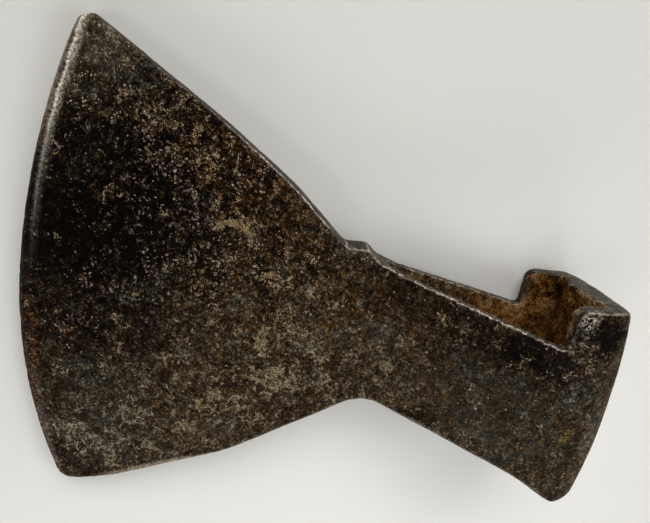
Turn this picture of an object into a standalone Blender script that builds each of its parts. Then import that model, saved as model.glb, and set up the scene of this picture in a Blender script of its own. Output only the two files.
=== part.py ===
"""Iron axe head: a flared blade, a short neck and a wedge-shaped socket with an open eye.

The head is drawn in millimetres in its own frame: x runs from the cutting edge to the poll,
y runs along the eye from the heel side to the tip side, and z runs through the thickness.
It is the same on both sides of the plane z = 0. It is then laid down on one cheek, in
metres, with the origin on the floor under the middle of its box.
"""

import math

import bmesh
import bpy
from mathutils import Vector

MM = 0.001

# Side view. A corner is (x, y, radius of its rounding).
EDGE_X = 0.4                # foremost point of the cutting edge
EDGE_RADIUS_ABOVE = 245.0   # cutting edge from that point up to the tip
EDGE_RADIUS_BELOW = 170.0   # cutting edge from that point down to the heel
EDGE_TOP = 80.0
EDGE_BOTTOM = -66.6
TIP = (17.9, 87.8, 2.2)
UPPER_BLADE = [(60.0, 63.9, 400.0), (86.0, 46.8, 150.0)]
SHOULDER = (102.0, 33.0, 0.0)
SHOULDER_CREST = (108.5, 33.4, 30.0)
HEEL = (16.4, -71.6, 5.2)
LOWER_BLADE = [(32.5, -68.3, 60.0), (74.0, -49.4, 50.0)]
NECK = (117.0, -18.0, 15.0)
LOWER_RIM = (172.0, -32.8, 40.0)
LUG = (194.9, -46.0, 5.5)
LUG_TOP = -37.0             # the lug's rounding runs into the back of the poll here
POLL_RADIUS = 180.0         # the back of the poll is an upright arc
POLL_MIDDLE = -12.0
POLL_END = 198.2
BLANK_TOP = 35.0            # height of the socket before its top is cut to shape

# Where the side view is divided between the blade, the socket and the poll.
NECK_BOTTOM_X = 118.0
WIDEST_X = 184.0            # the cheeks are widest here, and this line meets the floor
LUG_X = 187.0
BELLY_X = 46.0              # only the blade in front of this can meet the floor

# Top of the socket: the cheeks fall from the shoulder to a notch, and the ears stand behind it.
SOCKET_TOP = [(105.0, 37.0, 0.0), (113.2, 30.2, 6.0), (121.0, 27.5, 20.0), (174.5, 15.7, 1.7),
              (174.5, 29.5, 3.0), (203.0, 32.3, 0.0)]
CUT_TOP = 60.0

# Half of the plan view, seen along the eye: (x, half thickness, radius of the rounding).
NECK_PLAN_X = 110.0
HALF_WIDTHS = [(0.0, 0.0, 0.0), (0.25, 0.5, 0.0), (0.9, 1.1, 0.0), (3.1, 2.0, 0.0),
               (9.0, 2.6, 8.0), (102.0, 6.8, 20.0), (119.0, 6.9, 25.0), (172.5, 21.2, 25.0),
               (WIDEST_X, 21.2, 0.0), (195.8, 19.6, 3.2), (197.4, 11.0, 6.0),
               (POLL_END, 0.0, 0.0)]
EYE_NOSE_X = 117.4
EYE_REAR_X = 183.4          # flat middle of the rear wall, between two deeper corners
EYE_HALF_WIDTHS = [(EYE_NOSE_X, 0.0, 0.0), (EYE_NOSE_X, 3.0, 2.4), (171.0, 16.8, 22.0),
                   (186.2, 14.4, 1.6), (EYE_REAR_X, 6.5, 8.0), (EYE_REAR_X, 0.0, 0.0)]
EYE_REACH = 60.0            # the eye is cut from this far below to this far above y = 0
RIM_SHARE = 0.3             # width of the bevel along the rims, as a share of half the thickness
RIM_MOST = 1.3

# Fineness of the surface.
ROWS = 34                   # from the lower rim to the upper rim
BLADE_STATIONS = [0.0, 0.25, 0.9, 3.1, 5.6]
BLADE_COLUMNS = 22
SOCKET_COLUMNS = 18
POLL_STATIONS = [187.6, 191.2, 193.6, 195.0, 195.9, 196.6, 197.3, 197.9, POLL_END]
ARC_STEP = math.radians(9.0)
WELD = 0.001                # points closer than this are one point

IRON_COLOUR = (0.052, 0.043, 0.036, 1.0)
IRON_METALLIC = 0.55
IRON_ROUGHNESS = 0.48


def rounded(corners):
    """Straight runs between the corners, with each corner rounded to its radius."""
    points = [Vector(corners[0][:2])]
    for before, corner, after in zip(corners, corners[1:], corners[2:]):
        middle = Vector(corner[:2])
        back = (Vector(before[:2]) - middle).normalized()
        ahead = (Vector(after[:2]) - middle).normalized()
        opening = back.angle(ahead)
        if corner[2] == 0.0:
            points.append(middle)
            continue
        centre = middle + (back + ahead).normalized() * corner[2] / math.sin(opening / 2)
        start = middle + back * corner[2] / math.tan(opening / 2) - centre
        turn = math.copysign(math.pi - opening, ahead.x * back.y - ahead.y * back.x)
        steps = max(2, math.ceil(abs(turn) / ARC_STEP))
        for step in range(steps + 1):
            cos, sin = math.cos(turn * step / steps), math.sin(turn * step / steps)
            points.append(centre + Vector((start.x * cos - start.y * sin,
                                           start.x * sin + start.y * cos)))
    return points + [Vector(corners[-1][:2])]


def along(points, share):
    """The point at this share of the length of a run of points."""
    left = share * sum((b - a).length for a, b in zip(points, points[1:]))
    for a, b in zip(points, points[1:]):
        length = (b - a).length
        if left <= length:
            return a.lerp(b, left / length)
        left -= length
    return points[-1].copy()


def height_at(points, x):
    """The height at x of a run of points whose x never falls."""
    for a, b in zip(points, points[1:]):
        if a.x <= x <= b.x and b.x > a.x:
            return a.y + (b.y - a.y) * (x - a.x) / (b.x - a.x)
    return points[0].y if x < points[0].x else points[-1].y


def stretch(points, x_from, x_to):
    """The part of such a run from x_from to x_to."""
    ends = [Vector((x, height_at(points, x))) for x in (x_from, x_to)]
    return ends[:1] + [p for p in points if x_from < p.x < x_to] + ends[1:]


def fall(radius, height):
    """How far an upright arc has fallen back at a height from its foremost point."""
    return radius - math.sqrt(radius * radius - height * height)


def upright(bottom, top, x_at):
    """A run of points from bottom to top, with x given by a function of the height."""
    heights = [bottom + (top - bottom) * row / ROWS for row in range(ROWS + 1)]
    return [Vector((x_at(y), y)) for y in heights]


def edge_x(y):
    """The cutting edge."""
    return EDGE_X + fall(EDGE_RADIUS_ABOVE if y > 0 else EDGE_RADIUS_BELOW, y)


def poll_x(y):
    """The back of the poll."""
    return POLL_END - fall(POLL_RADIUS, y - POLL_MIDDLE)


def ribs_between(left, right, bottom, top, shares, half_width, bevel_at):
    """Ribs that fill the area between four border curves, as lists of (x, y, half thickness).

    Each rib goes from the bottom border to the top one. Its two end points lie on the rims,
    and a bevel leads from them to the cheeks.
    """
    ribs = []
    for share in shares:
        low, high = along(bottom, share), along(top, share)
        bevel = bevel_at(share)
        inset = bevel / (high - low).length
        heights = [inset + (1 - 2 * inset) * row / (ROWS - 2) for row in range(ROWS - 1)]
        rib = []
        for height in [0.0] + heights + [1.0]:
            corners = left[0].lerp(right[0], share).lerp(left[-1].lerp(right[-1], share), height)
            across = along(left, height).lerp(along(right, height), share)
            point = across + low.lerp(high, height) - corners
            thickness = half_width(point.x, share)
            if height in (0.0, 1.0):
                thickness = max(0.0, thickness - bevel)
            rib.append((point.x, point.y, thickness))
        ribs.append(rib)
    return ribs


def head_ribs():
    """All ribs of the head, from the cutting edge to the back of the poll."""
    plan = rounded(HALF_WIDTHS)
    edge = upright(EDGE_BOTTOM, EDGE_TOP, edge_x)
    lug_end = Vector((poll_x(LUG_TOP), LUG_TOP))
    lower = rounded([tuple(edge[0]), HEEL] + LOWER_BLADE + [NECK, LOWER_RIM, LUG, tuple(lug_end)])
    upper = rounded([tuple(edge[-1]), TIP] + UPPER_BLADE + [SHOULDER])
    blank_end = (poll_x(BLANK_TOP), BLANK_TOP)
    blank = rounded([SHOULDER, SHOULDER_CREST, blank_end])

    neck = [Vector((NECK_BOTTOM_X, height_at(lower, NECK_BOTTOM_X))), Vector(SHOULDER[:2])]
    cheek = [Vector((WIDEST_X, height_at(run, WIDEST_X))) for run in (lower, blank)]
    back = upright(LUG_TOP, BLANK_TOP, poll_x)
    lug = [p for p in lower if p.x > LUG_X][:-1]
    back = [Vector((LUG_X, height_at(lower, LUG_X)))] + lug + back

    rest = NECK_PLAN_X - BLADE_STATIONS[-1]
    stations = BLADE_STATIONS + [BLADE_STATIONS[-1] + rest * (column + 1) / BLADE_COLUMNS
                                 for column in range(BLADE_COLUMNS)]

    def blade_width(_, share):
        return height_at(plan, share * NECK_PLAN_X)

    blade = ribs_between(edge, neck, stretch(lower, edge[0].x, NECK_BOTTOM_X), upper,
                         [station / NECK_PLAN_X for station in stations], blade_width,
                         lambda share: min(RIM_MOST, RIM_SHARE * blade_width(0.0, share)))
    socket = ribs_between(neck, cheek, stretch(lower, NECK_BOTTOM_X, WIDEST_X),
                          stretch(blank, SHOULDER[0], WIDEST_X),
                          [(column + 1) / SOCKET_COLUMNS for column in range(SOCKET_COLUMNS)],
                          lambda x, _: height_at(plan, x), lambda _: RIM_MOST)
    depth = POLL_END - WIDEST_X
    poll = ribs_between(cheek, back, stretch(lower, WIDEST_X, LUG_X),
                        stretch(blank, WIDEST_X, blank_end[0]),
                        [(station - WIDEST_X) / depth for station in POLL_STATIONS],
                        lambda _, share: height_at(plan, WIDEST_X + share * depth),
                        lambda _: RIM_MOST)
    return blade + socket + poll


def make_collection(name):
    collection = bpy.data.collections.new(name)
    bpy.context.scene.collection.children.link(collection)
    return collection


def add_object(name, mesh_data, collection):
    mesh = bpy.data.meshes.new(name)
    mesh_data.to_mesh(mesh)
    mesh_data.free()
    thing = bpy.data.objects.new(name, mesh)
    collection.objects.link(thing)
    return thing


def make_head(collection):
    """The head before its eye and the top of its socket are cut."""
    skin = bmesh.new()
    rings = []
    for rib in head_ribs():
        near = [skin.verts.new((x * MM, y * MM, z * MM)) for x, y, z in rib]
        far = [skin.verts.new((x * MM, y * MM, -z * MM)) for x, y, z in reversed(rib)]
        rings.append(near + far)
    for ring, following in zip(rings, rings[1:]):
        for this in range(len(ring)):
            after = (this + 1) % len(ring)
            skin.faces.new((ring[this], following[this], following[after], ring[after]))
    bmesh.ops.remove_doubles(skin, verts=skin.verts, dist=WELD * MM)
    bmesh.ops.recalc_face_normals(skin, faces=skin.faces)
    return add_object("axe_head", skin, collection)


def make_cutter(name, outline, offset, collection):
    """A closed prism over an outline of (x, y, z) points in millimetres, pushed by offset."""
    block = bmesh.new()
    face = block.faces.new([block.verts.new(Vector(point) * MM) for point in outline])
    made = bmesh.ops.extrude_face_region(block, geom=[face])
    pushed = [item for item in made["geom"] if isinstance(item, bmesh.types.BMVert)]
    bmesh.ops.translate(block, verts=pushed, vec=Vector(offset) * MM)
    bmesh.ops.recalc_face_normals(block, faces=block.faces)
    cutter = add_object(name, block, collection)
    cutter.display_type = "WIRE"
    cutter.hide_render = True
    return cutter


def cut(thing, cutter):
    cutter.parent = thing
    modifier = thing.modifiers.new(cutter.name, "BOOLEAN")
    modifier.operation = "DIFFERENCE"
    modifier.solver = "EXACT"
    modifier.object = cutter


def eye_cutter(collection):
    """The eye: the same plan all the way through, from a narrow nose to a flat rear wall."""
    half = rounded(EYE_HALF_WIDTHS)
    plan = [(p.x, p.y) for p in half] + [(p.x, -p.y) for p in reversed(half[1:-1])]
    outline = [(x, -EYE_REACH, z) for x, z in plan]
    return make_cutter("eye_cutter", outline, (0.0, 2 * EYE_REACH, 0.0), collection)


def socket_top_cutter(collection):
    """All that lies above the rims of the cheeks and the ears."""
    side = [(p.x, p.y) for p in rounded(SOCKET_TOP)]
    side += [(side[-1][0], CUT_TOP), (side[0][0], CUT_TOP)]
    reach = 2 * max(width for _, width, _ in HALF_WIDTHS)
    return make_cutter("socket_top_cutter", [(x, y, -reach) for x, y in side],
                       (0.0, 0.0, 2 * reach), collection)


def iron():
    material = bpy.data.materials.new("dark_iron")
    material.use_nodes = True
    shader = material.node_tree.nodes["Principled BSDF"]
    shader.inputs["Base Color"].default_value = IRON_COLOUR
    shader.inputs["Metallic"].default_value = IRON_METALLIC
    shader.inputs["Roughness"].default_value = IRON_ROUGHNESS
    return material


def lay_down(head):
    """Tilts the head so that one cheek and the blade rest on the floor, and centres it."""
    widest = max(vertex.co.z for vertex in head.data.vertices)
    front = [vertex.co for vertex in head.data.vertices if vertex.co.x < BELLY_X * MM]
    head.rotation_euler.y = -min(math.atan2(widest - point.z, WIDEST_X * MM - point.x)
                                 for point in front)
    bpy.context.view_layer.update()
    evaluated = head.evaluated_get(bpy.context.evaluated_depsgraph_get())
    points = [evaluated.matrix_world @ vertex.co for vertex in evaluated.data.vertices]
    low = [min(point[axis] for point in points) for axis in range(3)]
    high = [max(point[axis] for point in points) for axis in range(3)]
    head.location = (-(low[0] + high[0]) / 2, -(low[1] + high[1]) / 2, -low[2])
    bpy.context.view_layer.update()


def main():
    for thing in list(bpy.data.objects):
        bpy.data.objects.remove(thing, do_unlink=True)
    parts = make_collection("iron_axe_head")
    cutters = make_collection("cutters")
    head = make_head(parts)
    head.data.materials.append(iron())
    head.data.shade_smooth()
    cut(head, socket_top_cutter(cutters))
    cut(head, eye_cutter(cutters))
    lay_down(head)


main()
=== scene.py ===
"""Looks of the iron axe head: a pitted, patinated skin over the head, on a plain pale floor.

Sizes are in millimetres in the head's own drawing frame unless a name says otherwise: x runs
from the cutting edge to the poll, y along the eye from the heel to the tip, and z through the
thickness, with the middle plane of the blade at z = 0 and the near cheek above it.
"""

import math

import bmesh
import bpy
import numpy as np
from mathutils import Matrix, Vector, noise
from mathutils.bvhtree import BVHTree
from mathutils.kdtree import KDTree


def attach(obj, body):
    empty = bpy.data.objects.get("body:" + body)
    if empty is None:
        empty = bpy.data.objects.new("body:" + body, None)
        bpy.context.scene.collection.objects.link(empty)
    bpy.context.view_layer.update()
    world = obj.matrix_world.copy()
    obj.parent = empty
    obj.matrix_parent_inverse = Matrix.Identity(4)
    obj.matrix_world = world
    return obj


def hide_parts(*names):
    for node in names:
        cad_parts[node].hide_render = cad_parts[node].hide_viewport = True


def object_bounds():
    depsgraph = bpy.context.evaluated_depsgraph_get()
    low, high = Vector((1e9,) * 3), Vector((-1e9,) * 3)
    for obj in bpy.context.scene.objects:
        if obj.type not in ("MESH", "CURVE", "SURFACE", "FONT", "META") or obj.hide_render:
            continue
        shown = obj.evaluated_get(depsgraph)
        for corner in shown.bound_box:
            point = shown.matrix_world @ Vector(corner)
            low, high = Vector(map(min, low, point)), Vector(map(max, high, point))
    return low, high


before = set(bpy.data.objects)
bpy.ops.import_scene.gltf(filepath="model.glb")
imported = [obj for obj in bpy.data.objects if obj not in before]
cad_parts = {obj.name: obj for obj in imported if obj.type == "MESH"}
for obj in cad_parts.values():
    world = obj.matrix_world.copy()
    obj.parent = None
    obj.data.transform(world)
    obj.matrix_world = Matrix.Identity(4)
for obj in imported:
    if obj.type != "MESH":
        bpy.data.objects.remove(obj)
cad_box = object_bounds()

MM = 0.001                  # a millimetre in the frame's metres

# How the head lies on the floor: turned about its y axis and moved, in metres.
TILT_SINE = 0.10495
HEAD_AT = (-0.09891, -0.00793, 0.00276)

# The head's main lines.
EDGE_X, EDGE_RADIUS_ABOVE, EDGE_RADIUS_BELOW = 0.4, 245.0, 170.0
BEVEL_END = 3.1             # the cutting bevel ends this far behind the edge,
BEVEL_END_TIP = 1.2         # and this far at the tip
BEVEL_NARROWS = (50, 84)    # it narrows between these heights
EYE_NOSE_X, EYE_REAR_X, POLL_X = 117.4, 186.6, 195.0
EYE_HALF_WIDTHS = ((EYE_NOSE_X, 3.2), (171.0, 17.2), (EYE_REAR_X, 16.2))
EYE_MARGIN = 0.8            # what is this close to the eye's wall is on it

# The skin.
VOXEL = 0.78
SNAP = 0.16                 # skin points this close to the head's faces are set on them,
LINE_SNAP = 0.42            # and those this close to a sharp edge on that
LINE_STEP = 0.3             # points along a sharp edge are this far apart
SHARP = math.radians(35)
RIM_FACING = 0.4            # a rim's normal leans less than this to either cheek
SEED_STEP = Vector((31.7, -17.9, 23.3))
CHANCE_STEP, RADIUS_STEP = 53.7, 91.3   # where each cell's two random numbers are read
WAVE_ROUGHNESS, WAVE_DIVISION = 0.8, 2.1

# How round its corners are: a little everywhere, and more at the shoulder and in these places.
SOFT_ROUNDS, SOFTER_ROUNDS, ROUNDING = 2, 10, 0.6
POLL_ROUNDING, BEVEL_ROUNDING, TIP_ROUNDING = 0.8, 0.4, 0.2

# Its unevenness. Waves have a size, a seed and octaves; pits have a spacing, a seed, the share of
# places that have one, and the least and greatest radius.
BIG_WAVES, BIG_HEIGHT = (17.0, 1, 3), 0.13
MIDDLE_WAVES, MIDDLE_HEIGHT, MIDDLE_HEIGHT_IN_EYE = (5.5, 2, 2), 0.06, 0.12
SMALL_WAVES, SMALL_HEIGHT, SMALL_HEIGHT_IN_EYE = (1.9, 3, 2), 0.035, 0.08
DEEP_PITS, DEEP_PIT = (5.2, 4, 0.45, 1.2, 2.9), 0.16
FINE_PITS, FINE_PIT = (2.6, 5, 0.6, 0.8, 1.5), 0.10
RIM_CALM, RIM_PITS_LOST, BEVEL_CALM, BEVEL_PITS_LOST = 0.6, 0.7, 0.75, 0.8   # shares they lose
NICKS, NICK, NICK_FROM = (3.1, 6, 2), 0.26, (0.25, 0.75)
EDGE_WAVES, EDGE_WAVE, EDGE_WAVE_FROM = (9.0, 7), 0.2, (0.1, 0.8)
EDGE_LIP = (0.3, 2.2)       # how far behind the edge the nicks fade out

# Two struck crescents: middle, radius, width, and the angles where they start and end.
CRESCENTS = (((66.0, 27.8), 6.8, 2.3, 10, 150), ((80.7, 15.8), 4.4, 1.9, 25, 160))
CRESCENT_HEIGHT, CRESCENT_FLANK = 0.2, (0.3, 0.9)
CRESCENT_THINNEST, CRESCENT_BLUNTNESS = 0.02, 0.6

# How far a normal leans towards the tip, a cheek, the near cheek or the cutting edge: each is
# where a finish begins and where it is full.
FACES_UP, LEANS_UP, FACES_CHEEK, FACES_NEAR = (0.55, 0.85), (0.0, 0.4), (0.45, 0.8), (0.0, 0.3)
FACES_EDGE = (-0.2, -0.7)

# Where finishes and wear begin and end. Each is the places between which they fade in, or fade
# out where the first is the greater: along x unless it says height, or behind the edge.
SHOULDER_BEGINS, SHOULDER_ENDS, SHOULDER_HEIGHT = (84, 90), (112, 102), (24, 30)
POLL_CORNER, CALM_POLL, POLL_BACK = (188, 192), (187, 192), (193, 196)
TIP_HEIGHT = (82, 86)
# a painted highlight down the poll's rounded corner
LIT_POLL_CORNER, BELOW_EAR_HEIGHT = (187, 190.5), (30, 18)    # down the side of the poll
# painted shade in the eye: at its narrow nose and at its rear under the ear
SHADED_NOSE, SHADED_REAR = (165, 140), (175, 183)       # darker than the middle of the eye
RUSTY_LINING = (140, 165)
EDGE_RUST_BEHIND, EDGE_RUST_TOP_HEIGHT, EDGE_RUST_LOW_HEIGHT = (3, 8), (12, -6), (-56, -30)
GREY_POLL = (188, 191)
WORN_BLADE, WORN_EAR = (46, 84), (174, 180)             # the line on the upper arrises
DULL_NECK_BEGINS, DULL_NECK_ENDS = (90, 98), (126, 110)
LOWER_LINE_BEGINS, LOWER_LINE_ENDS = (24, 34), (192, 186)
STRIP_BEHIND, STRIP_TOP_HEIGHT, STRIP_LOW_HEIGHT = (3.6, 6.4), (-2, -14), (-56, -44)
RUBBED_SOCKET = (103, 116)
STEP_FACES_FROM = 160

# How strong some of these are.
POLL_CORNER_HIGHLIGHT, NOSE_SHADE, REAR_SHADE = 0.75, 0.9, 0.9
POLL_CALMER, POLL_BACK_CALMER, POLL_GREYER, POLL_AS_RIM = 0.3, 0.2, 0.2, 0.5
EDGE_RUST, STRIP_AS_BEVEL, LEAST_LINING = 0.95, 0.8, 0.3
FAR_LESS_WORN, EAR_LESS_WORN, NECK_LESS_WORN, STEP_LESS_WORN = 0.7, 0.75, 0.65, 0.6
LEAST_WORN, STEP_LESS_RUBBED = 0.12, 0.8
LEAST_LOWER_LINE, LOWER_LINE_FADES, HEEL_WIDENS = 0.36, (1.2, 2.1), 0.9

# What is painted on the cheeks. Each spot is an amount, its middle, its half length and half
# width, and the length's angle where it has one. The amount fades to 0 at the spot's border.
LEVEL = 0.5                 # how light the patina is, from -3 for black to 3 for pale
LEVEL_SPOTS = (
    # the near-black zone behind the cutting edge, dark patina with a painted dark reflection over it,
    # and the pale tip above it
    (-2.4, (18, 36), (34, 50), 80), (-0.3, (44, 44), (58, 40), 60), (-1.2, (22, 4), (36, 38)),
    (1.1, (22, 82), (15, 14)), (0.25, (34, 60), (18, 14), -35), (-0.3, (52, 56), (44, 16), -40),
    (0.5, (41, 15), (14, 9)), (0.4, (45, 57), (9, 8)),
    # the lower blade, lighter over a wide spot as a painted reflection of a pale surface
    (0.6, (60, -38), (70, 40)), (-0.4, (18, -27), (15, 9)), (-0.3, (38, -42), (12, 8)),
    (0.3, (73, 3), (28, 13)),
    # the neck and the socket
    (0.6, (110, -4), (40, 30)), (-0.3, (111, 15), (20, 14)), (0.35, (127, -12), (15, 8), -20),
    (0.25, (146, 0), (26, 16), -15), (-0.8, (140, 17), (40, 10), -20),
    (0.3, (158, -18), (34, 12), -20), (0.35, (178, -20), (30, 30)),
    # under the eye's lowest rim, and the black ear
    (-1.4, (168, 12), (20, 7), -15), (-3.1, (185, 23), (8, 8)),
)
LINING_LEVEL, LINING_SPOT = 1.9, (0.3, (171, 17), (17, 14))     # the eye's lining
GRIT = 0.8                  # how strongly the patina varies
GRIT_SPOTS = (
    (0.6, (44, 44), (50, 40), 60), (0.1, (80, 24), (42, 30)), (0.25, (24, 6), (30, 30)),
    (-0.1, (60, -40), (70, 34)), (0.6, (182, 22), (14, 12)), (-0.2, (24, 80), (18, 18)),
    (-0.3, (158, -12), (46, 26), -20), (-0.15, (112, 8), (28, 26)), (-0.1, (14, -20), (16, 16)),
)
PALE_SPOTS = (              # pale crust
    (0.4, (29, -53), (26, 15), -25), (0.8, (25, -53), (19, 7), -30),
    (0.4, (50, -36), (46, 24), -5), (0.4, (45, -18), (8, 5), 40),
    (0.45, (69, -30), (12, 5), 15), (0.5, (80, -4), (6, 6)), (0.5, (98, -2), (10, 5), -55),
    (0.4, (89, -15), (9, 5)), (0.4, (86, -22), (30, 18), 15), (0.35, (92, 0), (34, 26)),
    (0.5, (128, -5), (10, 6), -30), (0.5, (112, -20), (20, 12), -40),
    (0.2, (150, -24), (34, 10), -20),
)
# small pale flecks, partly painted glints off small pits
SPECK_SPOTS = (             # small pale flecks
    (1.0, (52, 40), (40, 34), 60), (0.35, (32, 62), (24, 24)), (0.45, (84, 18), (44, 28)),
    (0.3, (26, 4), (28, 26)),
)
TINT_SPOTS = (              # orange brown patina
    (0.95, (70, 48), (40, 17), -37), (0.45, (86, 16), (40, 26)), (0.4, (48, 42), (34, 28), 45),
    (0.3, (88, -12), (46, 30)), (0.15, (44, -30), (40, 24)), (0.4, (125, 15), (34, 14)),
    (0.3, (165, -24), (30, 10), -20),
)
RUST_SPOTS = (              # rust, besides that along the cutting edge
    (0.35, (12, -14), (14, 18)), (0.2, (56, 6), (20, 16)), (1.1, (4.8, -16), (3, 6)),
    (0.8, (6.4, -7), (3, 3)), (0.6, (17, -11), (3, 3)), (0.5, (9, -42), (4, 12), -75),
)
BLUE_SPOTS = (              # greenish grey patina
    (0.8, (24, 76), (22, 20)), (0.75, (30, -42), (34, 30), -15), (0.15, (80, -20), (44, 26)),
    (0.25, (108, -4), (30, 24)), (0.55, (168, -10), (40, 30), -25),
)
SPARKLE_SPOT = (1.0, (177.3, 26.6), (3.4, 3.4))     # the bright worn spot on the near ear
OCHRE_SPOT = (1.0, (183, -14), (2.4, 5.0), -22)     # the small stain on the poll's side
RUBBED_HEEL_SPOTS = ((1.0, (47, -58), (28, 16)), (0.4, (140, -24), (14, 12)))

# Along the cutting edge, by height: how strong the painted highlight on the ridge behind the bevel is,
# how far behind the edge it runs, and how light the bevel itself is.
RIDGE_HIGHLIGHT_BY_HEIGHT = ((8, 0), (22, 0.07), (32, 0.18), (42, 0.25), (50, 0.5), (60, 1.0))
LINE_BY_HEIGHT = ((18, 4.2), (32, 3.6), (50, 3.3), (64, 3.1), (76, 2.8), (84, 2.2))
LIP_BY_HEIGHT = ((-58, 0.84), (-47, 0.80), (-34, 0.66), (-21, 0.55), (-8, 0.08), (32, 0.05),
                 (45, 0.36), (58, 0.95), (80, 1.20))

# Each finish is stored on the skin from 0 to 1. These say what 0 and 1 stand for in the material.
ARRIS_REACH = 4.0           # from this far on the rims to this far on the cheeks
RIDGE_REACH = 8.0
LEVEL_REACH = 3.0
GRIT_TOP = 2.0
LIP_TOP = 1.2

# Colours as they show on a screen, from dark to light.
BROWN = ((4, 2, 0), (14, 8, 3), (31, 21, 12), (50, 39, 26), (76, 63, 47), (113, 99, 79),
         (162, 146, 122))
GREY = ((4, 4, 3), (14, 13, 10), (29, 27, 21), (46, 43, 35), (70, 65, 54), (106, 99, 84),
        (156, 148, 131))
RUDDY = ((5, 2, 0), (18, 9, 3), (37, 21, 8), (60, 39, 18), (90, 65, 36), (126, 101, 66),
         (170, 146, 110))
RUST = ((30, 16, 8), (68, 40, 22), (108, 68, 40), (142, 100, 64))
LINING = ((11, 6, 2), (35, 19, 6), (70, 40, 14), (104, 66, 27), (134, 94, 48), (162, 128, 85))
PLATE = ((36, 25, 16), (58, 42, 28), (80, 60, 40))
WARM_CRUST = ((98, 82, 57), (142, 123, 92), (184, 166, 134))
COOL_CRUST = ((96, 89, 75), (140, 131, 114), (182, 173, 156))
# pale flecks, partly painted glints off small pits
FLECK = ((88, 69, 53), (142, 119, 98), (206, 186, 162))
STRUCK = ((100, 80, 55), (138, 116, 84), (168, 148, 114))
RIM = ((8, 6, 5), (19, 16, 13), (36, 31, 26), (62, 56, 46), (112, 105, 90))
LIP = ((5, 4, 3), (26, 20, 15), (60, 46, 36), (92, 73, 58), (122, 108, 95), (154, 142, 128))
RUBBED = ((124, 109, 90), (170, 153, 130), (212, 195, 170))
# bare metal on worn arrises, lightened further as a painted highlight where they face the key light
BARE_AND_HIGHLIGHT = ((146, 132, 120), (200, 188, 174), (242, 234, 224))
# a painted highlight along the ridge behind the cutting bevel
HIGHLIGHT_ON_RIDGE = ((206, 192, 166), (240, 230, 210), (255, 251, 240))
HOLLOW, CRACK, PIT, OCHRE = (28, 20, 13), (8, 5, 3), (10, 7, 4), (146, 124, 66)

# The noises that the material is made from: size, detail, roughness, distortion, the spread that
# is divided away, and a shift that makes each its own.
NOISES = {
    "drift": (9.0, 2.0, 0.6, 0.0, 0.071, 5.5), "mottle": (3.4, 4.0, 0.85, 0.6, 0.049, 3.1),
    "grain": (1.1, 2.0, 0.8, 0.0, 0.050, 7.7), "dust": (0.45, 0.0, 0.5, 0.0, 0.055, 11.2),
    "hue": (2.8, 3.0, 0.7, 0.4, 0.06, 21.0), "blotch": (2.4, 2.0, 0.6, 0.5, 0.068, 31.0),
    "clump": (6.0, 3.0, 0.65, 0.4, 0.08, 51.0), "worms": (3.0, 0.0, 0.5, 1.4, 0.07, 47.5),
    "curls": (2.0, 0.0, 0.5, 1.0, 0.07, 49.5), "cluster": (5.0, 3.0, 0.7, 0.0, 0.06, 66.0),
    "crackle": (8.0, 3.0, 0.55, 0.8, 0.064, 83.0), "pits": (0.85, 1.0, 0.6, 0.0, 0.072, 77.0),
}
CELL_SPREAD = 0.217         # the spread of a Voronoi cell's own grey

# Fleck sizes: cell size, the dot's radius as a share of it, and how rare the dots are.
FLECKS = ((0.75, 0.40, 2.25), (1.25, 0.36, 2.15), (2.1, 0.34, 2.8))

# How it shines.
PATINA_ROUGHNESS = (0.30, 0.46)
CRUST_ROUGHNESS, RUST_ROUGHNESS, BARE_ROUGHNESS = 0.75, 0.68, 0.36
BARE_METALLIC, SPECULAR = 0.2, 0.035

# The camera stands over the near cheek: where it is in the frame, in metres, and its own axes.
CAMERA_AT = (-0.0362, 0.0682, 0.1721)
CAMERA_FORWARD = (0.1963, -0.2963, -0.9347)
CAMERA_UP = (-0.1268, 0.9376, -0.3238)
CAMERA_LENS = 28.8

# The room, in metres and watts.
FLOOR_SIZE, FLOOR_SHADE, FLOOR_ROUGHNESS = 8.0, (0.74, 0.734, 0.704, 1.0), 0.9
WARM_WHITE = (1.0, 0.985, 0.95)
SKY_SHADE = (1.0, 0.985, 0.96, 1.0)
SKY_LOW, SKY_HIGH = (0.1, 0.20), (0.85, 0.02)   # height of the direction, and strength there


def find_head_matrix():
    cosine = math.sqrt(1 - TILT_SINE ** 2)
    return Matrix(((cosine, 0, -TILT_SINE, HEAD_AT[0]), (0, 1, 0, HEAD_AT[1]),
                   (TILT_SINE, 0, cosine, HEAD_AT[2]), (0, 0, 0, 1)))


HEAD_MATRIX = find_head_matrix()
TO_DRAWING = HEAD_MATRIX.to_3x3().inverted()


def smooth(low, high, value):
    """0 at low, 1 at high, and an S curve between them. low may be the higher of the two."""
    share = np.clip((value - low) / (high - low), 0.0, 1.0)
    return share * share * (3 - 2 * share)


def at_least(least, share):
    """A share from 0 to 1, brought into the range from this least to 1."""
    return least + (1 - least) * share


def along(stops, value):
    """Straight lines through stops, each a place and its value."""
    return np.interp(value, *zip(*stops))


def bumps(points, size, seed, octaves=1):
    """Noise from about -1 to 1, with bumps of about this size."""
    shift = SEED_STEP * seed
    scaled = [Vector(p) / size + shift for p in points]
    if octaves == 1:
        return np.array([noise.noise(p) for p in scaled])
    return np.array([noise.fractal(p, WAVE_ROUGHNESS, WAVE_DIVISION, octaves) for p in scaled])


def pits(points, spacing, seed, share, low, high):
    """Round hollows with a radius from low to high in a share of all cells, 1 at their deepest."""
    shift = SEED_STEP * seed
    depth = np.zeros(len(points))
    for index, point in enumerate(points):
        near, cells = noise.voronoi(Vector(point) / spacing + shift)
        if noise.cell(cells[0] * CHANCE_STEP + shift) < share:
            radius = low + (high - low) * (noise.cell(cells[0] * RADIUS_STEP - shift) % 1.0)
            fall = near[0] * spacing / radius
            if fall < 1.0:
                depth[index] = (1 - fall * fall) ** 2
    return depth


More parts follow.
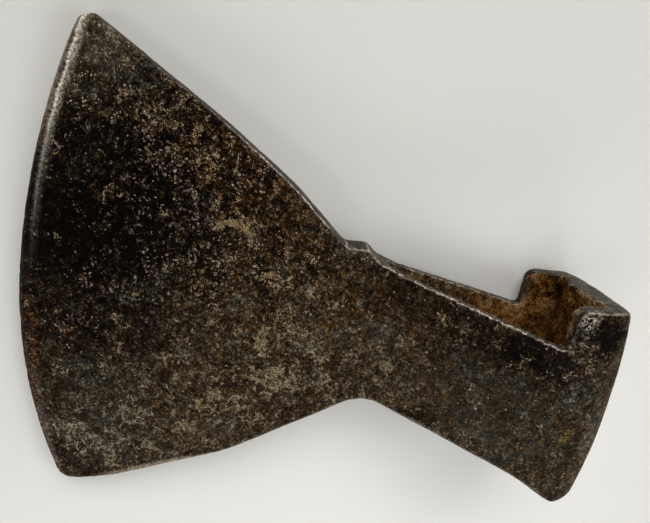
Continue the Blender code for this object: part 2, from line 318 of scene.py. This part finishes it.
def edge_line(y):
    """The cutting edge's x at a height."""
    radius = np.where(y > 0, EDGE_RADIUS_ABOVE, EDGE_RADIUS_BELOW)
    return EDGE_X + radius - np.sqrt(radius ** 2 - y ** 2)


def spot(x, y, at, size, angle=0.0):
    """1 at a place on the cheek, fading to 0 at an ellipse round it."""
    cos, sin = math.cos(math.radians(angle)), math.sin(math.radians(angle))
    lengthwise = (x - at[0]) * cos + (y - at[1]) * sin
    across = (y - at[1]) * cos - (x - at[0]) * sin
    return 1 - smooth(0.35, 1.0, np.hypot(lengthwise / size[0], across / size[1]))


def painted(x, y, *spots):
    """The sum of these spots' amounts at each place."""
    return sum(amount * spot(x, y, *form) for amount, *form in spots)


def crescent(x, y, at, radius, width, start, end):
    """A short arc, thick in the middle and thin at both ends: 1 at its middle, 0.5 at its border."""
    angle = np.degrees(np.arctan2(y - at[1], x - at[0]))
    share = np.clip((angle - start) / (end - start), 0, 1)
    half = width / 2 * np.sin(np.pi * share) ** CRESCENT_BLUNTNESS
    off = np.abs(np.hypot(x - at[0], y - at[1]) - radius)
    fall = 1 - 0.5 * off / np.maximum(half, CRESCENT_THINNEST)
    return np.where(half > CRESCENT_THINNEST, np.clip(fall, 0, 1), 0.0)


def sharp_lines(shell):
    """Points along every sharp edge, and along those where a cheek or chamfer meets a rim."""
    every, outer = [], []
    for edge in shell.edges:
        if edge.is_manifold and edge.calc_face_angle() > SHARP:
            a, b = (vertex.co for vertex in edge.verts)
            count = max(1, round((b - a).length / (LINE_STEP * MM)))
            points = [a.lerp(b, (index + 0.5) / count) for index in range(count)]
            every += points
            if min(abs((TO_DRAWING @ face.normal).z) for face in edge.link_faces) < RIM_FACING:
                outer += points
    trees = []
    for points in (every, outer):
        tree = KDTree(len(points))
        for index, point in enumerate(points):
            tree.insert(point, index)
        tree.balance()
        trees.append(tree)
    return trees


def remeshed(shell):
    """A fine even mesh round this shell."""
    mesh = bpy.data.meshes.new("shell")
    shell.to_mesh(mesh)
    holder = bpy.data.objects.new("shell", mesh)
    bpy.context.scene.collection.objects.link(holder)
    remesh = holder.modifiers.new("fine", "REMESH")
    remesh.mode = "VOXEL"
    remesh.voxel_size = VOXEL * MM
    fine = bpy.data.meshes.new_from_object(
        holder.evaluated_get(bpy.context.evaluated_depsgraph_get()))
    bpy.data.objects.remove(holder, do_unlink=True)
    return fine


def make_skin(node):
    """A fine even mesh over the node's faces, and how far each point is from an outer arris.

    The distance is in millimetres, above 0 on the cheeks and below 0 on the rims.
    """
    shell = bmesh.new()
    shell.from_mesh(node.data)
    bmesh.ops.remove_doubles(shell, verts=shell.verts, dist=0.001 * MM)
    tree = BVHTree.FromBMesh(shell)
    every, outer = sharp_lines(shell)
    skin = remeshed(shell)
    shell.free()
    from_arris = np.zeros(len(skin.vertices))
    for index, vertex in enumerate(skin.vertices):
        place, normal, _, distance = tree.find_nearest(vertex.co)
        line, _, reach = every.find(vertex.co)
        if reach < LINE_SNAP * MM:
            vertex.co = line
        elif distance < SNAP * MM:
            vertex.co = place
        side = 1 if abs((TO_DRAWING @ normal).z) > RIM_FACING else -1
        from_arris[index] = side * outer.find(vertex.co)[2] / MM
    skin.name = "iron_skin"
    skin.materials.clear()
    piece = bpy.data.objects.new("iron_axe_head", skin)
    bpy.context.scene.collection.objects.link(piece)
    return piece, from_arris


def vectors(collection, name):
    """One vector of each of a mesh's elements, as rows."""
    values = np.zeros(len(collection) * 3)
    collection.foreach_get(name, values)
    return values.reshape(-1, 3)


def averaged(mesh, values, rounds):
    """Each vertex's value, averaged with its neighbours' this many times."""
    ends = np.zeros(len(mesh.edges) * 2, np.int32)
    mesh.edges.foreach_get("vertices", ends)
    a, b = ends.reshape(-1, 2).T
    size = len(values)
    count = np.bincount(a, minlength=size) + np.bincount(b, minlength=size)
    for _ in range(rounds):
        columns = []
        for column in values.reshape(size, -1).T:
            total = np.bincount(a, column[b], size) + np.bincount(b, column[a], size)
            columns.append((column + total) / (1 + count))
        values = np.stack(columns, -1).reshape(values.shape)
    return values


class Skin:
    """The skin's points in the head's drawing frame, and which part of the head each is on."""

    def __init__(self, mesh, from_arris):
        self.mesh, self.from_arris = mesh, from_arris
        to_drawing = np.array(HEAD_MATRIX.inverted())
        self.turn, self.shift = to_drawing[:3, :3], to_drawing[:3, 3]
        self.drawn = (vectors(mesh.vertices, "co") @ self.turn.T + self.shift) / MM
        self.facing = vectors(mesh.vertex_normals, "vector") @ self.turn.T
        self.x, self.y, self.z = x, y, z = self.drawn.T
        in_wedge = np.abs(z) < along(EYE_HALF_WIDTHS, x) + EYE_MARGIN
        inside = in_wedge & (x > EYE_NOSE_X - 0.5) & (x < EYE_REAR_X)
        inside = inside * (1 - smooth(*FACES_UP, self.facing[:, 1]))
        self.inside = averaged(mesh, inside, 2)
        self.behind_edge = x - edge_line(y)
        bevel_end = np.interp(y, BEVEL_NARROWS, (BEVEL_END, BEVEL_END_TIP))
        self.bevel = 1 - smooth(bevel_end - 0.8, bevel_end + 0.3, self.behind_edge)
        rim = 1 - smooth(*FACES_CHEEK, np.abs(self.facing[:, 2]))
        self.rim = rim * (1 - self.inside) * (1 - self.bevel)
        self.poll = smooth(POLL_X - 2, POLL_X + 1, x)
        self.near = smooth(*FACES_NEAR, self.facing[:, 2]) * (z > 0)
        mark = np.maximum.reduce([crescent(x, y, *form) for form in CRESCENTS])
        self.mark = mark * self.near * (1 - self.inside)

    def wear_round(self):
        """Rounds every corner a little, and some of them more."""
        soft = averaged(self.mesh, self.drawn, SOFT_ROUNDS)
        softer = averaged(self.mesh, soft, SOFTER_ROUNDS)
        shoulder = smooth(*SHOULDER_BEGINS, self.x) * smooth(*SHOULDER_ENDS, self.x)
        shoulder *= smooth(*SHOULDER_HEIGHT, self.y)
        more = np.maximum.reduce([shoulder, POLL_ROUNDING * smooth(*POLL_CORNER, self.x),
                                  BEVEL_ROUNDING * self.bevel,
                                  TIP_ROUNDING * smooth(*TIP_HEIGHT, self.y)])[:, None]
        self.drawn = self.drawn + (soft - self.drawn) * ROUNDING + (softer - soft) * more

    def hammer(self):
        """Works dents, pits and the struck crescents into the skin, with heights in millimetres."""
        big, middle, small = (bumps(self.drawn, *waves)
                              for waves in (BIG_WAVES, MIDDLE_WAVES, SMALL_WAVES))
        self.hollow, fine = (pits(self.drawn, *form) for form in (DEEP_PITS, FINE_PITS))
        height = BIG_HEIGHT * big + SMALL_HEIGHT * small
        height += MIDDLE_HEIGHT * middle * (1 - RIM_CALM * self.rim)
        pitted = (1 - RIM_PITS_LOST * self.rim) * (1 - BEVEL_PITS_LOST * self.bevel)
        height -= (DEEP_PIT * self.hollow + FINE_PIT * fine) * pitted
        height += self.inside * (MIDDLE_HEIGHT_IN_EYE * middle + SMALL_HEIGHT_IN_EYE * small)
        height *= 1 - BEVEL_CALM * self.bevel
        height += CRESCENT_HEIGHT * smooth(*CRESCENT_FLANK, self.mark)
        self.drawn = self.drawn + self.facing * height[:, None]

    def nick_edge(self):
        """Pushes the cutting edge back in nicks, and in longer waves."""
        lip = 1 - smooth(*EDGE_LIP, self.behind_edge)
        flat = np.zeros_like(self.y)
        line = np.stack([flat, self.y, flat], -1)
        nicks = NICK * smooth(*NICK_FROM, bumps(line, *NICKS))
        waves = EDGE_WAVE * smooth(*EDGE_WAVE_FROM, bumps(line, *EDGE_WAVES))
        self.drawn[:, 0] += lip * (nicks + waves)

    def write_back(self):
        """Moves the mesh's points, and keeps them inside the CAD model's box."""
        points = (self.drawn * MM - self.shift) @ np.linalg.inv(self.turn).T
        low, high = (np.array(corner) for corner in cad_box)
        self.mesh.vertices.foreach_set("co", np.clip(points, low, high).ravel())
        self.mesh.update()

    def patina(self):
        """How light the patina is, with painted reflections on the blade, painted shade in the eye and
        a painted highlight on the poll's corner; how strongly it varies, and where each kind of it
        lies.
        """
        x, y = self.x, self.y
        level = LEVEL + painted(x, y, *LEVEL_SPOTS)
        # a painted highlight down the poll's rounded corner
        level += POLL_CORNER_HIGHLIGHT * smooth(*LIT_POLL_CORNER, x) * smooth(*BELOW_EAR_HEIGHT, y)
        lining = LINING_LEVEL + painted(x, y, LINING_SPOT)
        # painted shade at the eye's narrow nose and at its rear under the ear
        lining -= NOSE_SHADE * smooth(*SHADED_NOSE, x) + REAR_SHADE * smooth(*SHADED_REAR, x)
        level += self.inside * (lining - level)
        grit = GRIT + painted(x, y, *GRIT_SPOTS)
        grit -= POLL_CALMER * smooth(*CALM_POLL, x) + POLL_BACK_CALMER * smooth(*POLL_BACK, x)
        rust = EDGE_RUST * (1 - smooth(*EDGE_RUST_BEHIND, self.behind_edge))
        rust *= smooth(*EDGE_RUST_TOP_HEIGHT, y) * smooth(*EDGE_RUST_LOW_HEIGHT, y)
        return {
            "level": 0.5 + level / (2 * LEVEL_REACH), "grit": grit / GRIT_TOP,
            "pale": painted(x, y, *PALE_SPOTS), "speck": painted(x, y, *SPECK_SPOTS),
            "tint": painted(x, y, *TINT_SPOTS), "rust": rust + painted(x, y, *RUST_SPOTS),
            "blue": painted(x, y, *BLUE_SPOTS) + POLL_GREYER * smooth(*GREY_POLL, x),
            "inside": self.inside * at_least(LEAST_LINING, smooth(*RUSTY_LINING, x)),
            "hollow": self.hollow, "mark": self.mark,
            "sparkle": painted(x, y, SPARKLE_SPOT) * self.near,
            "ochre": painted(x, y, OCHRE_SPOT) * self.near,
        }

    def wear(self):
        """Where arrises, rims and the cutting edge show wear and rubbing, with painted highlights on
        the upper arrises and along the bevel's ridge.
        """
        x, y, z = self.x, self.y, self.z
        step_face = smooth(*FACES_EDGE, self.facing[:, 0]) * (x > STEP_FACES_FROM)

        # The upper arrises: worn, and painted lighter as a highlight where they lean towards the key
        # light; less on the far cheek, on the ear, round the neck and at the step.
        worn_and_lit = smooth(*LEANS_UP, self.facing[:, 1] + 0.35 * (self.from_arris < 0))
        worn_and_lit *= (smooth(*WORN_BLADE, x) * (1 - FAR_LESS_WORN * (z < 0))
                 * (1 - EAR_LESS_WORN * smooth(*WORN_EAR, x)))
        worn_and_lit *= 1 - NECK_LESS_WORN * smooth(*DULL_NECK_BEGINS, x) * smooth(*DULL_NECK_ENDS, x)
        worn_and_lit = (worn_and_lit + LEAST_WORN) * (1 - STEP_LESS_WORN * step_face)

        # The near cheek's lower arris: a rubbed line, wider and paler near the heel.
        heel = painted(x, y, *RUBBED_HEEL_SPOTS)
        under = self.near * (y < 0) * smooth(*LOWER_LINE_BEGINS, x) * smooth(*LOWER_LINE_ENDS, x)
        under *= (at_least(LEAST_LOWER_LINE, heel)
                  * (1 - smooth(*LOWER_LINE_FADES, self.from_arris - HEEL_WIDENS * heel)))

        # The lower end of the cutting edge, where the bevel's look runs on behind it.
        strip = 1 - smooth(*STRIP_BEHIND, self.behind_edge)
        strip *= smooth(*STRIP_TOP_HEIGHT, y) * smooth(*STRIP_LOW_HEIGHT, y)
        # Where the painted highlight along the bevel's ridge runs, and how strong it is.
        from_line = self.behind_edge - along(LINE_BY_HEIGHT, y)
        return {
            "from_arris": 0.5 + self.from_arris / (2 * ARRIS_REACH), "worn_and_lit": worn_and_lit, "under": under,
            "rubbed": smooth(*RUBBED_SOCKET, x) * (1 - STEP_LESS_RUBBED * step_face),
            "rim": np.maximum(self.rim, POLL_AS_RIM * self.poll), "poll": self.poll,
            "bevel": np.maximum(self.bevel, STRIP_AS_BEVEL * strip),
            "ridge": 0.5 + from_line / (2 * RIDGE_REACH),
            "ridge_highlight": along(RIDGE_HIGHLIGHT_BY_HEIGHT, y) * self.near, "lip": along(LIP_BY_HEIGHT, y) / LIP_TOP,
        }


def dress(piece, from_arris):
    """Works pits, dents and wear into the skin, and stores where each finish lies."""
    skin = Skin(piece.data, from_arris)
    skin.wear_round()
    skin.hammer()
    skin.nick_edge()
    skin.write_back()
    for name, values in {**skin.patina(), **skin.wear()}.items():
        attribute = piece.data.attributes.new(name, "FLOAT", "POINT")
        attribute.data.foreach_set("value", np.clip(values, 0, 1).astype(np.float32))
    piece.data.shade_smooth()


def colour(red, green, blue):
    """A colour given as it shows on a screen, from 0 to 255."""
    def linear(value):
        value /= 255
        return value / 12.92 if value <= 0.04045 else ((value + 0.055) / 1.055) ** 2.4
    return (linear(red), linear(green), linear(blue), 1.0)


class Nodes:
    """Short ways to add and join shader nodes."""

    def __init__(self, material):
        material.use_nodes = True
        self.tree = material.node_tree
        self.shader = self.tree.nodes["Principled BSDF"]
        place = self.tree.nodes.new("ShaderNodeTexCoord").outputs["Object"]
        self.place = self.vector("SCALE", {0: place, "Scale": 1 / MM})

    def join(self, source, socket):
        if isinstance(source, bpy.types.NodeSocket):
            self.tree.links.new(source, socket)
        else:
            socket.default_value = source

    def make(self, kind, inputs, **settings):
        """A new node with these settings, and each input joined to a node or set to a value."""
        node = self.tree.nodes.new("ShaderNode" + kind)
        for name, value in settings.items():
            setattr(node, name, value)
        for socket, source in inputs.items():
            self.join(source, node.inputs[socket])
        return node

    def mask(self, name):
        return self.make("Attribute", {}, attribute_name=name).outputs["Fac"]

    def vector(self, operation, inputs):
        return self.make("VectorMath", inputs, operation=operation).outputs[0]

    def calc(self, operation, a, b=0.0, clamp=False):
        return self.make("Math", {0: a, 1: b}, operation=operation, use_clamp=clamp).outputs[0]

    def add(self, *parts):
        result = parts[0]
        for part in parts[1:]:
            result = self.calc("ADD", result, part)
        return result

    def times(self, *factors):
        result = factors[0]
        for factor in factors[1:]:
            result = self.calc("MULTIPLY", result, factor)
        return result

    def less(self, whole, part):
        return self.calc("SUBTRACT", whole, part)

    def highest(self, a, b, clamp=False):
        return self.calc("MAXIMUM", a, b, clamp)

    def step(self, value, low, high, start=0.0, end=1.0, kind="SMOOTHSTEP"):
        """start below low, end above high, and a curve or a line between."""
        return self.make("MapRange", {"Value": value, "From Min": low, "From Max": high,
                                      "To Min": start, "To Max": end},
                         interpolation_type=kind).outputs["Result"]

    def mix(self, share, a, b, kind="RGBA"):
        return self.make("Mix", {"Factor": share, "A": a, "B": b}, data_type=kind).outputs["Result"]

    def ramp(self, value, low, high, colours):
        """Evenly spaced colours from low to high."""
        share = self.step(value, low, high, kind="LINEAR")
        node = self.make("ValToRGB", {"Fac": share})
        stops = node.color_ramp.elements
        while len(stops) < len(colours):
            stops.new(0.5)
        for index, shade in enumerate(colours):
            stops[index].position = index / (len(colours) - 1)
            stops[index].color = colour(*shade)
        return node.outputs["Color"]

    def unit(self, name):
        """One of the named noises, with a mean of 0 and a spread of 1."""
        size, detail, rough, distortion, spread, shift = NOISES[name]
        node = self.make("TexNoise", {"W": shift, "Scale": 1 / size, "Detail": detail,
                                      "Roughness": rough, "Distortion": distortion,
                                      "Vector": self.place}, noise_dimensions="4D")
        return self.calc("DIVIDE", self.less(node.outputs["Fac"], 0.5), spread)

    def warp(self, size, reach):
        """The place, pushed about by a noise."""
        node = self.make("TexNoise", {"Scale": 1 / size, "Detail": 3.0, "Vector": self.place})
        centred = self.vector("SUBTRACT", {0: node.outputs["Color"], 1: (0.5, 0.5, 0.5)})
        pushed = self.vector("SCALE", {0: centred, "Scale": reach})
        return self.vector("ADD", {0: self.place, 1: pushed})

    def cells(self, size, place, feature="F1"):
        return self.make("TexVoronoi", {"Scale": 1 / size, "Vector": place}, feature=feature)

    def beads(self, size, place):
        """A shade for each cell, with a mean of 0 and a spread of 1, and how far off its middle is."""
        node = self.cells(size, place)
        shade = self.calc("DIVIDE", self.less(node.outputs["Color"], 0.5), CELL_SPREAD)
        return shade, node.outputs["Distance"]

    def flakes(self, size, place):
        """The same shade for each cell, and how far off its border is."""
        border = self.cells(size, place, "DISTANCE_TO_EDGE").outputs["Distance"]
        return self.beads(size, place)[0], border


class Iron(Nodes):
    """The head's old iron, laid on in layers. self.tone is its colour so far.

    drift, mottle, grain and dust are noises from coarse to fine, and flake and chip are a shade
    for each cell, large and small. All have a mean of 0 and a spread of 1. sand is grain and dust.
    """

    def __init__(self, material):
        super().__init__(material)
        self.drift, self.mottle, self.grain, self.dust = (
            self.unit(name) for name in ("drift", "mottle", "grain", "dust"))
        self.sand = self.add(self.grain, self.dust)
        self.inside, self.bevel, self.rim, self.rubbed = (
            self.mask(name) for name in ("inside", "bevel", "rim", "rubbed"))
        self.outside = self.less(1.0, self.inside)
        self.level = self.spread_out("level", LEVEL_REACH)
        self.from_arris = self.spread_out("from_arris", ARRIS_REACH)
        crooked = self.warp(1.7, 2.6)
        self.flake, self.gap = self.flakes(1.9, crooked)
        self.chip, self.crack = self.flakes(0.95, crooked)

    def add(self, *parts, **shares):
        """The sum of these parts, and of these shares of the noises and masks kept here."""
        scaled = (self.times(getattr(self, name), share) for name, share in shares.items())
        return super().add(*parts, *scaled)

    def spread_out(self, name, reach):
        """A stored mask, from -reach to reach."""
        return self.step(self.mask(name), 0, 1, -reach, reach, kind="LINEAR")

    def paint(self, share, shade):
        self.tone = self.mix(share, self.tone, shade)

    def add_patina(self):
        """Brown, orange brown and greenish grey, flaked, each from near black to pale."""
        value = self.add(mottle=0.6, drift=0.25, grain=0.28, dust=0.25, flake=0.45, chip=0.38)
        value = self.add(value, self.step(self.gap, 0.03, 0.18, -1.0, 0.2),
                         self.step(self.crack, 0.02, 0.16, -0.4, 0.1))
        grit = self.times(self.mask("grit"), GRIT_TOP)
        self.value = self.add(self.times(value, grit), self.level)
        brown, grey, ruddy = (self.ramp(self.value, -LEVEL_REACH, LEVEL_REACH, colours)
                              for colours in (BROWN, GREY, RUDDY))
        self.blue = self.mask("blue")
        cool = self.step(self.add(self.drift, blue=2.6), 0.9, 2.5)
        warm = self.step(self.add(self.unit("hue"), self.times(self.mask("tint"), 2.4)), 1.4, 2.6)
        self.tone = self.mix(cool, brown, grey)
        self.paint(warm, ruddy)
        self.paint(self.times(self.mask("hollow"), 0.45), colour(*HOLLOW))

    def add_rust(self):
        """Rust in blotches, and a rusty lining of the eye."""
        blotch = self.add(self.unit("blotch"), self.times(self.mask("rust"), 2.6))
        self.rusty = self.step(blotch, 2.6, 3.2)
        self.paint(self.times(self.rusty, 0.8),
                   self.ramp(self.add(self.grain, mottle=0.7), -2.4, 2.4, RUST))
        self.paint(self.inside,
                   self.ramp(self.add(drift=0.5, mottle=0.3, value=0.6), -3, 3, LINING))

    def add_crust(self):
        """Smooth brown plates, with pale crust in the gaps between them and in curls over the rest."""
        plate, seam = self.flakes(3.4, self.warp(3.0, 3.0))
        clump = self.add(self.unit("clump"), self.times(self.mask("pale"), 2.7))
        plateau = self.times(self.step(plate, 0.2, 0.9), self.step(seam, 0.02, 0.12),
                             self.step(clump, 0.5, 1.5))
        self.paint(self.times(plateau, 0.7), self.ramp(self.grain, -2.5, 2.5, PLATE))
        worms, curls = (self.calc("ABSOLUTE", self.unit(name)) for name in ("worms", "curls"))
        dense = self.step(clump, 1.1, 3.2, kind="LINEAR")
        crust = 0.0
        for line, width, blur in ((seam, 0.18, 0.03), (worms, 0.22, 0.07), (curls, 0.36, 0.08)):
            there = self.step(self.less(self.times(dense, width), line), 0.0, blur)
            crust = self.highest(crust, there)
        self.crust = self.times(crust, self.step(self.sand, -2.6, -1.5), self.outside)
        chalk = self.add(grain=0.8, dust=0.5, chip=0.3)
        warm, cool = (self.ramp(chalk, -2.6, 2.6, colours) for colours in (WARM_CRUST, COOL_CRUST))
        self.paint(self.times(self.crust, 0.9), self.mix(self.blue, warm, cool))

    def add_flecks(self):
        """Small pale flecks in clusters: chips that have lost their dark skin, and painted glints off
        the edges of small pits.
        """
        cluster = self.add(self.unit("cluster"), self.times(self.mask("speck"), 1.5))
        bent = self.warp(1.1, 0.9)
        flecks = 0.0
        for size, share, rare in FLECKS:
            shade, off = self.beads(size, bent)
            there = self.step(self.add(shade, self.times(cluster, 0.8)), rare, rare + 0.2)
            dot = self.times(self.step(off, share - 0.1, share + 0.06, 1.0, 0.0), there)
            flecks = self.highest(flecks, dot)
        flecks = self.times(flecks, self.outside, self.step(self.level, -2.6, -1.3, 0.5, 1.0))
        self.paint(self.times(flecks, self.step(self.sand, -2.4, 0.2, 0.15, 0.85)),
                   self.ramp(self.add(self.sand, self.chip), -3.4, 3.4, FLECK))

    def add_cracks_and_marks(self):
        """Long dark cracks, fine pits, the struck crescents and the ochre stain."""
        crackle = self.step(self.calc("ABSOLUTE", self.unit("crackle")), 0.015, 0.06, 1.0, 0.0)
        crackle = self.times(crackle, self.step(self.drift, 0.0, 0.8), self.less(1.0, self.bevel))
        self.paint(self.times(crackle, 0.75), colour(*CRACK))
        pit = self.step(self.unit("pits"), -1.9, -1.2, 1.0, 0.0)
        self.paint(self.times(pit, 0.6), colour(*PIT))
        mark = self.step(self.add(self.mask("mark"), sand=0.04), 0.46, 0.60)
        patchy = self.step(self.add(self.mottle, self.grain), -3.0, -0.6, 0.5, 0.95)
        self.paint(self.times(mark, patchy), self.ramp(self.sand, -3.5, 3.5, STRUCK))
        self.paint(self.times(self.mask("ochre"), self.step(self.sand, -0.2, 1.2, 0.0, 0.85)),
                   colour(*OCHRE))

    def add_rims(self):
        """Smoother grey rims, a brown cutting edge, and a rubbed lower arris."""
        poll = self.mask("poll")
        value = self.add(self.times(self.mottle, self.less(1.3, self.times(poll, 0.95))), self.grain,
                         self.times(self.drift, poll, 0.5), rubbed=2.9)
        self.paint(self.times(self.rim, 0.7, self.step(self.from_arris, -0.3, 0.3, 1.0, 0.45)),
                   self.ramp(value, -3, 5, RIM))
        edging = self.times(self.mask("lip"), LIP_TOP)
        edging = self.add(edging, grain=0.09, dust=0.06, mottle=0.05)
        self.paint(self.times(self.bevel, self.less(0.85, self.times(self.rusty, 0.6))),
                   self.ramp(edging, 0, LIP_TOP, LIP))
        patchy = self.step(self.add(self.grain, self.mottle), -2.4, 0.4, 0.5, 1.0)
        self.paint(self.times(self.mask("under"), patchy), self.ramp(self.sand, -2.6, 2.6, RUBBED))

    def add_bare_metal_and_highlights(self):
        """Worn arrises with a painted highlight where they face the key light, the bright spot on the
        ear, and a painted highlight along the ridge behind the cutting bevel.
        """
        wander = self.calc("ABSOLUTE", self.add(self.from_arris, grain=0.07))
        wander = self.less(wander, self.times(self.rubbed, 0.1))
        patchy = self.add(self.drift, self.mottle, grain=0.3)
        line = self.times(self.step(wander, 0.25, 0.62, 1.0, 0.0), self.mask("worn_and_lit"),
                          self.step(patchy, -1.6, 1.2, 0.3, 1.0))
        glint = self.times(self.mask("sparkle"), self.step(self.sand, -0.2, 0.7))
        self.bare_and_lit = self.highest(line, glint, clamp=True)
        self.paint(self.bare_and_lit, self.ramp(self.grain, -2, 2, BARE_AND_HIGHLIGHT))

        # The painted highlight along the bevel's ridge, which fades slowly on the cheek's side.
        wavy = self.spread_out("ridge", RIDGE_REACH)
        wavy = self.add(wavy, drift=0.12, mottle=0.05, grain=0.04)
        core = self.times(self.step(self.calc("ABSOLUTE", wavy), 0.15, 0.8, 1.0, 0.0),
                          self.step(self.grain, -2.8, 0.0, 0.6, 1.0))
        halo = self.times(self.step(wavy, 0.0, 2.6, 0.54, 0.0), self.step(wavy, -1.3, -0.1),
                          self.step(self.sand, -1.6, 1.6, 0.5, 1.2))
        self.paint(self.times(self.highest(core, halo), self.mask("ridge_highlight")),
                   self.ramp(self.sand, -2.6, 2.6, HIGHLIGHT_ON_RIDGE))

    def find_roughness(self):
        """The roughness: the patina's, with that of other finishes over it."""
        rough = self.step(self.mottle, -2, 2, *PATINA_ROUGHNESS)
        crusty = self.highest(self.crust, self.times(self.inside, 0.9))
        for share, roughness in ((crusty, CRUST_ROUGHNESS), (self.rusty, RUST_ROUGHNESS),
                                 (self.bare_and_lit, BARE_ROUGHNESS)):
            rough = self.mix(share, rough, roughness, "FLOAT")
        return rough

    def find_relief(self):
        """The normal, with relief that is too fine for the mesh, in millimetres."""
        lift = self.add(grain=0.036, dust=0.012, mottle=0.055)
        lift = self.add(lift, self.step(self.gap, 0.0, 0.2, 0.0, 0.10), flake=0.025, chip=0.02)
        smoothness = self.highest(self.times(self.rim, 0.6), self.times(self.bevel, 0.5))
        lift = self.times(lift, self.less(1.0, smoothness))
        return self.make("Bump", {"Strength": 1.0, "Distance": MM, "Height": lift}).outputs["Normal"]


def iron():
    material = bpy.data.materials.new("old_dark_iron")
    layers = Iron(material)
    layers.add_patina()
    layers.add_rust()
    layers.add_crust()
    layers.add_flecks()
    layers.add_cracks_and_marks()
    layers.add_rims()
    layers.add_bare_metal_and_highlights()
    shader = layers.shader
    layers.join(layers.tone, shader.inputs["Base Color"])
    layers.join(layers.find_roughness(), shader.inputs["Roughness"])
    layers.join(layers.times(layers.bare_and_lit, BARE_METALLIC), shader.inputs["Metallic"])
    layers.join(layers.find_relief(), shader.inputs["Normal"])
    shader.inputs["Specular IOR Level"].default_value = SPECULAR
    return material


def plain(name, shade, roughness):
    material = bpy.data.materials.new(name)
    material.use_nodes = True
    shader = material.node_tree.nodes["Principled BSDF"]
    shader.inputs["Base Color"].default_value = shade
    shader.inputs["Roughness"].default_value = roughness
    return material


def make_floor():
    bpy.ops.mesh.primitive_plane_add(size=FLOOR_SIZE, location=(0, 0, 0))
    floor = bpy.context.object
    floor.name = "floor"
    floor.data.materials.append(plain("pale_floor", FLOOR_SHADE, FLOOR_ROUGHNESS))
    return floor


def add_light(name, location, size, power, shade=(1, 1, 1), target=(0, 0, 0.01)):
    """A rectangular lamp that points at its target."""
    lamp = bpy.data.lights.new(name, "AREA")
    lamp.shape = "RECTANGLE"
    lamp.size, lamp.size_y = size
    lamp.energy = power
    lamp.color = shade
    thing = bpy.data.objects.new(name, lamp)
    thing.location = location
    thing.rotation_mode = "QUATERNION"
    thing.rotation_quaternion = (Vector(target) - thing.location).to_track_quat("-Z", "Y")
    bpy.context.scene.collection.objects.link(thing)
    return thing


def light_sky():
    """A soft light from low all round, and little from above."""
    world = bpy.data.worlds.new("studio")
    bpy.context.scene.world = world
    world.use_nodes = True
    tree = world.node_tree
    background = tree.nodes["Background"]
    background.inputs["Color"].default_value = SKY_SHADE
    place = tree.nodes.new("ShaderNodeTexCoord")
    split = tree.nodes.new("ShaderNodeSeparateXYZ")
    fade = tree.nodes.new("ShaderNodeMapRange")
    fade.interpolation_type = "SMOOTHSTEP"
    fade.inputs["From Min"].default_value, fade.inputs["To Min"].default_value = SKY_LOW
    fade.inputs["From Max"].default_value, fade.inputs["To Max"].default_value = SKY_HIGH
    tree.links.new(place.outputs["Generated"], split.inputs[0])
    tree.links.new(split.outputs["Z"], fade.inputs["Value"])
    tree.links.new(fade.outputs["Result"], background.inputs["Strength"])


def light_studio(floor):
    light_sky()
    add_light("key", (0.0, 1.3, 0.95), (1.6, 0.7), 19.0, WARM_WHITE)
    add_light("left", (-0.69, -0.35, 0.99), (0.5, 0.5), 2.2, WARM_WHITE)
    add_light("fill_right", (1.2, -0.1, 0.7), (0.7, 0.7), 5.0)
    add_light("fill_front", (0.0, -1.3, 0.6), (1.4, 0.6), 2.6)

    # Two lights for the floor alone, with no shadow: one brightens it towards the front, and one
    # softens the head's own shadow.
    only = bpy.data.collections.new("floor_only")
    only.objects.link(floor)
    front = add_light("floor_front", (0.0, -0.32, 0.18), (0.7, 0.1), 0.8, target=(0.0, -0.2, 0.0))
    middle = add_light("floor_middle", (0.08, 0.0, 0.15), (0.08, 0.08), 0.06,
                       target=(0.08, 0.0, 0.0))
    for lamp in (front, middle):
        lamp.light_linking.receiver_collection = only
        lamp.light_linking.blocker_collection = only


def make_camera():
    camera = bpy.data.objects.new("camera", bpy.data.cameras.new("camera"))
    camera.data.lens = CAMERA_LENS
    camera.data.clip_start = 0.01
    back = -Vector(CAMERA_FORWARD).normalized()
    right = Vector(CAMERA_UP).cross(back).normalized()
    up = back.cross(right)
    turn = Matrix((right, up, back)).transposed().to_4x4()
    camera.matrix_world = Matrix.Translation(CAMERA_AT) @ turn
    bpy.context.scene.collection.objects.link(camera)
    bpy.context.scene.camera = camera


head, distance_from_arris = make_skin(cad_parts["axe_head"])
dress(head, distance_from_arris)
head.data.materials.append(iron())
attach(head, "root")
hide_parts("axe_head")
light_studio(make_floor())
make_camera()
bpy.context.scene.view_settings.view_transform = "Standard"
